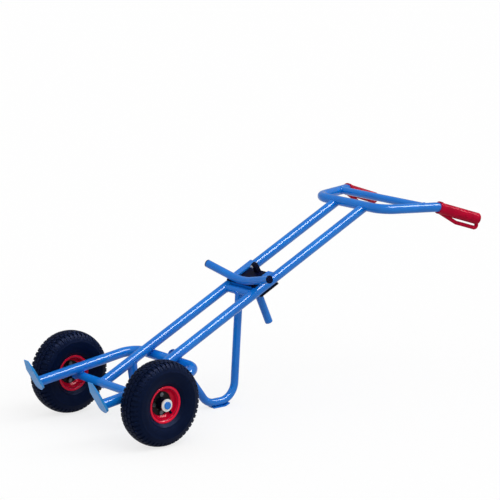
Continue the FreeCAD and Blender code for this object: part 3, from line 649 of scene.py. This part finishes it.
# %% Tyres on both wheels
for side, piece in (("left", tyre), ("right", copy_of(tyre))):
    piece.location = (AXLE.x, WHEEL_MIDDLE[side], AXLE.z)
    finish_piece(piece, f"{side}_treaded_tyre", f"{side}_wheel", tyre_rubber, [f"{side}_tyre"])

# %% [markdown]
# ## Rolled rims
# Each rim is two pressed halves. The press leaves no sharp corner: the flange is rolled over at its edge,
# flares into the seat of the tyre, and runs by a soft fold into the web. A revolve of the rounded section shows
# that, where the solid has the same section with sharp corners.

# %% Rims
RIM_STEPS = 96
RIM_SMOOTH = math.radians(40)
RIM_SECTION = [
    (19.3, 2.5), (34.5, 2.5), (37.0, 2.9), (39.0, 4.2), (45.4, 10.4), (46.8, 12.0), (47.6, 13.8), (48.2, 17.0),
    (48.9, 20.5), (50.2, 23.4), (52.4, 25.8), (55.2, 27.3), (58.0, 27.9), (59.3, 27.6), (60.1, 26.8),
    (59.8, 25.7), (56.5, 25.6), (53.6, 25.2), (51.6, 23.6), (50.7, 20.8), (50.7, 9.6), (40.4, 0.1), (19.3, 0.1),
]
rim = draw_chain([Vector((radius * MM, across * MM, 0)) for radius, across in RIM_SECTION])
bpy.ops.mesh.spin(steps=RIM_STEPS, angle=2 * math.pi, center=(0, 0, 0), axis=(0, 1, 0))
close_mesh()
only(rim)
bpy.ops.object.shade_smooth_by_angle(angle=RIM_SMOOTH)
halves = [("left", "outer", -1), ("left", "inner", 1), ("right", "outer", 1), ("right", "inner", -1)]
rims = [copy_of(rim) for half in halves[1:]] + [rim]
for (side, half, outward), piece in zip(halves, rims):
    piece.rotation_euler.x = 0.0 if outward > 0 else math.pi
    piece.location = (AXLE.x, WHEEL_MIDDLE[side], AXLE.z)
    finish_piece(piece, f"{side}_{half}_rolled_rim", f"{side}_wheel", red_rim,
                 [f"{side}_{half}_rim"])

# %% [markdown]
# ## Weld beads
# Every joint of the tubes is an arc weld. A bead is a ring of small ripples that follows the seam, and the
# enamel lies over it. Each one starts as a torus round the tube. Its rings are moved along the tube until they
# lie on the seam, every second ring is thinned to a ripple, and where the seam is open the rest is deleted.

# %% Weld bead helper
MAIN_RADIUS = 16.85
LIGHT_RADIUS = 13.45
BEAD_RINGS = 48
BEAD_SIDES = 8
BEAD_RIPPLE = 0.22


def bead(radius, thickness, rise, reach=math.pi):
    """Bead about Z at the origin; rise gives each ring's height, and reach how far it runs both ways from X."""
    bpy.ops.object.select_all(action="DESELECT")
    bpy.ops.mesh.primitive_torus_add(
        major_segments=BEAD_RINGS, minor_segments=BEAD_SIDES,
        major_radius=radius * MM, minor_radius=thickness * MM)
    piece = bpy.context.object
    turn = 2 * math.pi / BEAD_RINGS
    angles = [(ring * turn + math.pi) % (2 * math.pi) - math.pi for ring in range(BEAD_RINGS)]
    for ring, angle in enumerate(angles):
        if abs(angle) > reach + 2 * turn:
            continue
        pick_points(piece, lambda index: index // BEAD_SIDES == ring)
        bpy.ops.transform.translate(value=(0, 0, rise(max(-reach, min(reach, angle))) * MM))
        leave_edit()
    pick_points(piece, lambda index: (index // BEAD_SIDES) % 2 == 0)
    bpy.ops.transform.shrink_fatten(value=-BEAD_RIPPLE * thickness * MM)
    if reach < math.pi:
        leave_edit()
        pick_points(piece, lambda index: abs(angles[index // BEAD_SIDES]) > reach)
        bpy.ops.mesh.delete(type="VERT")
        bpy.ops.mesh.select_all(action="SELECT")
        bpy.ops.mesh.region_to_loop()
        bpy.ops.mesh.edge_face_add()
    bpy.ops.mesh.select_all(action="SELECT")
    bpy.ops.mesh.normals_make_consistent(inside=False)
    leave_edit()
    bpy.ops.object.shade_smooth()
    return piece


def lay(piece, place, axis, toward):
    """Stand a bead at a place, its axis along one direction and its start toward another."""
    z = Vector(axis).normalized()
    x = Vector(toward).normalized()
    y = z.cross(x)
    turn = Matrix((x, y, z)).transposed().to_4x4()
    piece.matrix_world = Matrix.Translation(place) @ turn
    settle(piece)


# %% [markdown]
# Both ends of a rail meet a round tube, the axle's tube at the foot and the handle bow at the head. So each ring
# of the bead lies at the height of a round bar, taken at its own distance from the bar's middle line.

# %% Beads of the rails
RAIL_HALF = 70.0
RAIL_DROP = 8.0
RAIL_LENGTH = 1143.0
HANDLE_LIFT = 5.5
ALONG = Vector((math.cos(RAIL_TILT), 0, math.sin(RAIL_TILT)))
OVER = Vector((-math.sin(RAIL_TILT), 0, math.cos(RAIL_TILT)))
BEAD = 2.2
SEAT_WIDE, SEAT_CLOSE = 0.5, 0.3
RAIL_FOOT_REACH, RAIL_HEAD_REACH = math.radians(100), math.radians(125)


def round_seam(radius, offset):
    """Half height of a round bar at a distance from its middle line."""
    return math.sqrt(max(radius ** 2 - offset ** 2, 0))


def rail_foot_rise(angle):
    return round_seam(LIGHT_RADIUS, MAIN_RADIUS * math.cos(angle) - RAIL_DROP)


def rail_head_rise(angle):
    return -round_seam(MAIN_RADIUS, MAIN_RADIUS * math.cos(angle) - HANDLE_LIFT)


rail_foot = bead(MAIN_RADIUS + SEAT_WIDE, BEAD, rail_foot_rise, RAIL_FOOT_REACH)
rail_head = bead(MAIN_RADIUS + SEAT_WIDE, BEAD, rail_head_rise, RAIL_HEAD_REACH)
for name, first, along in (("rail_foot", rail_foot, 0.0), ("rail_head", rail_head, RAIL_LENGTH)):
    second = copy_of(first)
    for side, sign, piece in (("left", -1, first), ("right", 1, second)):
        lay(piece, on_rails(along, sign * RAIL_HALF, -RAIL_DROP), ALONG, OVER)
        finish_piece(piece, f"{side}_{name}_weld", "frame", enamel)

# %% [markdown]
# ## Seams of the lower bow, the foot bow and the leg
# Each seam is worked out from the two tubes that meet. A tube cut by a plane has a tilted ring, a tube that
# ends on a round tube has a ring with two waves, and two tubes that cross have a small ring round their contact.

# %% Beads of the bows and the leg
BOW_TILT = math.radians(8.0)
BOW_HALF_WIDTH = 171.0
PLATE_LEAN = math.radians(24.2)
PLATE_SEAM_FRONT, PLATE_SEAM_UP = 170.58, 6.62
FOOT_TILT = math.radians(10.0)
FOOT_SKEW = math.radians(16.2)
FOOT_PLACE = 138.0
BOW_REAR = 223.84
CROSSING_RING = 9.0
LEG_LEAN = math.radians(2.0)
Y_AXIS = Vector((0, 1, 0))
X_AXIS = Vector((1, 0, 0))


def from_axle(x, y, z):
    """Point in metres from millimetres behind, beside and over the axle's middle."""
    return Vector((AXLE.x + x * MM, y * MM, AXLE.z + z * MM))


def crossing_rise(upper, lower):
    """Height of the weld between two tubes of these radii that cross and touch."""
    def rise(angle):
        along, beside = CROSSING_RING * math.sin(angle), CROSSING_RING * math.cos(angle)
        return (beside ** 2 / upper - along ** 2 / lower) / 4
    return rise


arm = Vector((math.cos(BOW_TILT), 0, math.sin(BOW_TILT)))
over_arm = Vector((-math.sin(BOW_TILT), 0, math.cos(BOW_TILT)))
foot_up = Vector((-math.sin(FOOT_TILT), 0, math.cos(FOOT_TILT)))
foot_back = Vector((math.cos(FOOT_TILT), 0, math.sin(FOOT_TILT)))
toe_bead = bead(MAIN_RADIUS + SEAT_WIDE, BEAD,
                lambda angle: -MAIN_RADIUS * math.cos(angle) * math.tan(PLATE_LEAN))
foot_bead = bead(MAIN_RADIUS + SEAT_CLOSE, BEAD, lambda angle: MAIN_RADIUS / math.cos(FOOT_SKEW) * (
    math.cos(angle) * math.sin(FOOT_SKEW) - abs(math.cos(angle))))
arm_bead = bead(CROSSING_RING, BEAD, crossing_rise(MAIN_RADIUS, LIGHT_RADIUS))
run_bead = bead(CROSSING_RING, BEAD, crossing_rise(MAIN_RADIUS, MAIN_RADIUS))
for side, sign in (("left", -1), ("right", 1)):
    out = sign * BOW_HALF_WIDTH
    seams = (
        ("toe_plate", toe_bead, from_axle(-PLATE_SEAM_FRONT, out, PLATE_SEAM_UP), arm, over_arm),
        ("foot_bow", foot_bead, on_rails(FOOT_PLACE, sign * RAIL_HALF, -RAIL_DROP), foot_up, foot_back),
        ("bow_arm", arm_bead, from_axle(0, out, 0) + over_arm * LIGHT_RADIUS * MM, over_arm, Y_AXIS),
        ("bow_run", run_bead, on_rails(BOW_REAR, sign * RAIL_HALF, -RAIL_DROP - MAIN_RADIUS), OVER, Y_AXIS),
    )
    for name, pattern, place, axis, toward in seams:
        piece = copy_of(pattern) if side == "left" else pattern
        lay(piece, place, axis, toward)
        finish_piece(piece, f"{side}_{name}_weld", "frame", enamel)

# %% [markdown]
# The cross saddle ends on the rails and carries the leg's top. The handle's cross tube ends on the splayed
# arms, so its seam is skewed, and the left seam is the mirror of the right one. The lever ends on the plate.

# %% Beads of the saddle, the handle and the lever
HANDLE_TUBE_BACK, HANDLE_TUBE_LIFT = 157.0, 2.5
ARM_OUT_THERE = 214.3
ARM_OUTWARD, ARM_BACKWARD = 66.0, 202.0
ARM_SPLAY = math.atan2(ARM_OUTWARD, ARM_BACKWARD)
LEVER_PLACE, PLATE_UNDERSIDE = 651.0, -31.15
leg_up = Vector((math.sin(LEG_LEAN), 0, math.cos(LEG_LEAN)))
handle_start = on_rails(RAIL_LENGTH, 0, HANDLE_LIFT - RAIL_DROP)
handle_tube = handle_start + Vector((HANDLE_TUBE_BACK, 0, HANDLE_TUBE_LIFT)) * MM


def saddle_rise(angle):
    return RAIL_HALF - round_seam(MAIN_RADIUS, LIGHT_RADIUS * math.cos(angle))


def tube_rise(angle, up):
    lift = HANDLE_TUBE_LIFT + up * LIGHT_RADIUS * math.sin(angle)
    back = LIGHT_RADIUS * math.cos(angle)
    return ARM_OUT_THERE + (math.sin(ARM_SPLAY) * back - round_seam(MAIN_RADIUS, lift)) / math.cos(ARM_SPLAY)


leg_bead = bead(LIGHT_RADIUS + SEAT_CLOSE, BEAD, lambda angle: -LIGHT_RADIUS * abs(math.sin(angle)))
lay(leg_bead, SADDLE, leg_up, X_AXIS)
finish_piece(leg_bead, "leg_top_weld", "frame", enamel)
for side, sign in (("left", -1), ("right", 1)):
    saddle_bead = bead(LIGHT_RADIUS + SEAT_CLOSE, BEAD, saddle_rise)
    lay(saddle_bead, SADDLE, sign * Y_AXIS, OVER)
    finish_piece(saddle_bead, f"{side}_saddle_weld", "frame", enamel)
    tube_bead = bead(LIGHT_RADIUS + SEAT_CLOSE, BEAD, lambda angle: tube_rise(angle, -sign))
    lay(tube_bead, handle_tube, sign * Y_AXIS, X_AXIS)
    finish_piece(tube_bead, f"{side}_handle_tube_weld", "frame", enamel)
lever_bead = bead(LIGHT_RADIUS + SEAT_CLOSE, BEAD, lambda angle: 0.0)
lay(lever_bead, on_rails(LEVER_PLACE, 0, PLATE_UNDERSIDE), OVER, ALONG)
finish_piece(lever_bead, "lever_weld", "hook_carriage", enamel)

# %% [markdown]
# ## Forged claw
# The claw is forged, so it draws in from its foot to its head, and its edges are rounded by the hammer and by
# use. Its outline is drawn on the rails, filled, and extruded to the width of the foot. Then the points of the
# head are drawn together, and a bevel rounds the edges. It is slimmer than the solid that it stands for.

# %% Claw
CLAW_BACK, CLAW_FOOT = 688.0, 9.2
CLAW_THICK, CLAW_HEAD, CLAW_HEAD_SHARE = 20.0, 17.0, 0.6
CLAW_EDGE, CLAW_EDGE_STEPS = 1.6, 3
CLAW_SHARP, CLAW_SMOOTH = math.radians(40), math.radians(35)
CLAW_OUTLINE = [
    (0.0, 0.0), (0.0, 28.5), (-2.5, 33.8), (-8.0, 36.4), (-17.0, 34.8), (-23.5, 31.0), (-26.0, 26.0),
    (-25.5, 20.6), (-22.6, 19.2), (-19.8, 22.0), (-18.2, 24.6), (-16.4, 24.6), (-16.0, 22.5), (-16.0, 0.0),
]
claw_foot = on_rails(CLAW_BACK, 0, CLAW_FOOT)
claw = draw_chain([on_rails(CLAW_BACK + along, -CLAW_THICK / 2, CLAW_FOOT + over)
                   for along, over in CLAW_OUTLINE])
bpy.ops.mesh.edge_face_add()
bpy.ops.mesh.extrude_region_move(TRANSFORM_OT_translate={"value": (0, CLAW_THICK * MM, 0)})
leave_edit()
pick_points(claw, lambda index: (claw.data.vertices[index].co - claw_foot).dot(OVER) > CLAW_HEAD * MM)
bpy.ops.transform.resize(value=(1, CLAW_HEAD_SHARE, 1))
bpy.ops.mesh.select_all(action="SELECT")
bpy.ops.mesh.normals_make_consistent(inside=False)
leave_edit()
soften(claw, CLAW_EDGE, CLAW_EDGE_STEPS, CLAW_SHARP, CLAW_SMOOTH)
finish_piece(claw, "forged_hook_claw", "hook_carriage", satin_black, ["hook_claw"])
